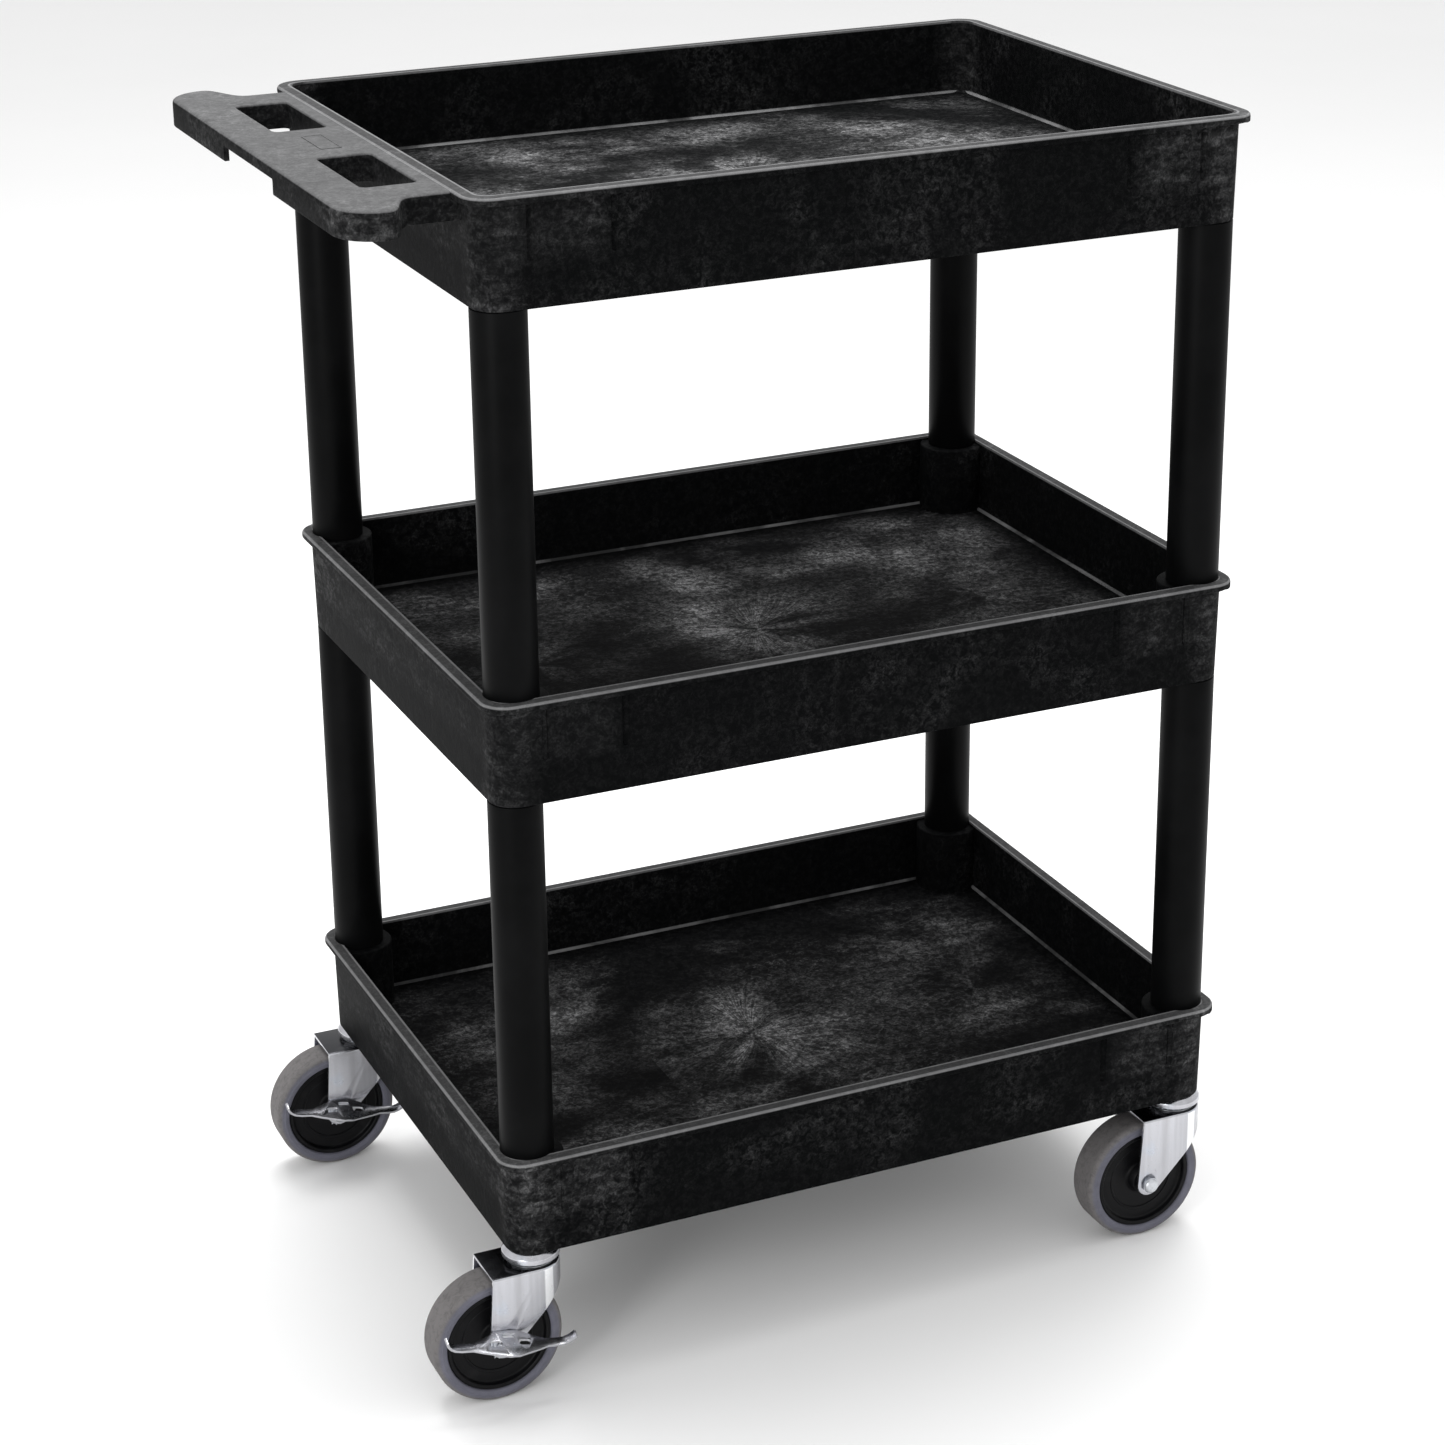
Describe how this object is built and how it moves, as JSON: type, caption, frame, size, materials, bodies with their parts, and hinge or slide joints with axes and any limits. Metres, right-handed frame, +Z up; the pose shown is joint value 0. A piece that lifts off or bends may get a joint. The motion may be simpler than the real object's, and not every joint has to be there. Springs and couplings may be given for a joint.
{
  "type": "rolling utility cart",
  "caption": "Black moulded utility cart: tub shelves on round legs, a push handle with hand holes on the top shelf, and swivel casters with wing pedal brakes at the handle end.",
  "frame": {"origin": "centre of the overall box, on the floor under the wheels", "axes": "+Z up; +X along the cart away from the push handle; +Y to the left of a person pushing it"},
  "size_m": [0.695, 0.4684, 0.92],
  "materials": {
    "shelf_plastic": "black structural foam with mottled flow marks",
    "leg_plastic": "smooth satin black extruded tube",
    "black_nylon": "moulded black nylon",
    "hub_plastic": "moulded black polypropylene, satin",
    "grey_rubber": "non-marking grey rubber, matte",
    "zinc_plate": "bright zinc-plated pressed steel",
    "bolt_steel": "zinc-plated turned steel"
  },
  "bodies": {
    "frame": {"bottom_shelf": "shelf_plastic", "middle_shelf": "shelf_plastic", "top_shelf": "shelf_plastic", "lower_leg_rear_right": "leg_plastic", "lower_leg_rear_left": "leg_plastic", "lower_leg_front_right": "leg_plastic", "lower_leg_front_left": "leg_plastic", "upper_leg_rear_right": "leg_plastic", "upper_leg_rear_left": "leg_plastic", "upper_leg_front_right": "leg_plastic", "upper_leg_front_left": "leg_plastic", "stem_socket_rear_right": "black_nylon", "caster_stem_rear_right": "bolt_steel", "race_cup_rear_right": "zinc_plate", "stem_socket_rear_left": "black_nylon", "caster_stem_rear_left": "bolt_steel", "race_cup_rear_left": "zinc_plate", "stem_socket_front_right": "black_nylon", "caster_stem_front_right": "bolt_steel", "race_cup_front_right": "zinc_plate", "stem_socket_front_left": "black_nylon", "caster_stem_front_left": "bolt_steel", "race_cup_front_left": "zinc_plate"},
    "caster_rear_right": {"fork_rear_right": "zinc_plate", "axle_bolt_rear_right": "bolt_steel", "axle_nut_rear_right": "bolt_steel", "axle_sleeve_rear_right": "bolt_steel", "ball_race_rear_right": "bolt_steel"},
    "wheel_rear_right": {"wheel_hub_rear_right": "hub_plastic", "tyre_rear_right": "grey_rubber"},
    "brake_rear_right": {"brake_pedal_rear_right": "zinc_plate", "brake_cam_rear_right": "bolt_steel"},
    "caster_rear_left": {"fork_rear_left": "zinc_plate", "axle_bolt_rear_left": "bolt_steel", "axle_nut_rear_left": "bolt_steel", "axle_sleeve_rear_left": "bolt_steel", "ball_race_rear_left": "bolt_steel"},
    "wheel_rear_left": {"wheel_hub_rear_left": "hub_plastic", "tyre_rear_left": "grey_rubber"},
    "brake_rear_left": {"brake_pedal_rear_left": "zinc_plate", "brake_cam_rear_left": "bolt_steel"},
    "caster_front_right": {"fork_front_right": "zinc_plate", "axle_bolt_front_right": "bolt_steel", "axle_nut_front_right": "bolt_steel", "axle_sleeve_front_right": "bolt_steel", "ball_race_front_right": "bolt_steel"},
    "wheel_front_right": {"wheel_hub_front_right": "hub_plastic", "tyre_front_right": "grey_rubber"},
    "caster_front_left": {"fork_front_left": "zinc_plate", "axle_bolt_front_left": "bolt_steel", "axle_nut_front_left": "bolt_steel", "axle_sleeve_front_left": "bolt_steel", "ball_race_front_left": "bolt_steel"},
    "wheel_front_left": {"wheel_hub_front_left": "hub_plastic", "tyre_front_left": "grey_rubber"}
  },
  "joints": [
    {"name": "swivel_rear_right", "type": "hinge", "parent": "frame", "child": "caster_rear_right", "pos_m": [-0.2355, -0.18735, 0.108], "axis": [0, 0, 1], "continuous": true},
    {"name": "roll_rear_right", "type": "hinge", "parent": "caster_rear_right", "child": "wheel_rear_right", "pos_m": [-0.2675, -0.18735, 0.0508], "axis": [0, 1, 0], "continuous": true},
    {"name": "press_rear_right", "type": "hinge", "parent": "caster_rear_right", "child": "brake_rear_right", "pos_m": [-0.2675, -0.18735, 0.0508], "axis": [0, 1, 0], "range_deg": [-22, 0]},
    {"name": "swivel_rear_left", "type": "hinge", "parent": "frame", "child": "caster_rear_left", "pos_m": [-0.2355, 0.20465, 0.108], "axis": [0, 0, 1], "continuous": true},
    {"name": "roll_rear_left", "type": "hinge", "parent": "caster_rear_left", "child": "wheel_rear_left", "pos_m": [-0.2675, 0.20465, 0.0508], "axis": [0, 1, 0], "continuous": true},
    {"name": "press_rear_left", "type": "hinge", "parent": "caster_rear_left", "child": "brake_rear_left", "pos_m": [-0.2675, 0.20465, 0.0508], "axis": [0, 1, 0], "range_deg": [-22, 0]},
    {"name": "swivel_front_right", "type": "hinge", "parent": "frame", "child": "caster_front_right", "pos_m": [0.3205, -0.18735, 0.108], "axis": [0, 0, 1], "continuous": true},
    {"name": "roll_front_right", "type": "hinge", "parent": "caster_front_right", "child": "wheel_front_right", "pos_m": [0.2885, -0.18735, 0.0508], "axis": [0, 1, 0], "continuous": true},
    {"name": "swivel_front_left", "type": "hinge", "parent": "frame", "child": "caster_front_left", "pos_m": [0.3205, 0.20465, 0.108], "axis": [0, 0, 1], "continuous": true},
    {"name": "roll_front_left", "type": "hinge", "parent": "caster_front_left", "child": "wheel_front_left", "pos_m": [0.2885, 0.20465, 0.0508], "axis": [0, 1, 0], "continuous": true}
  ]
}
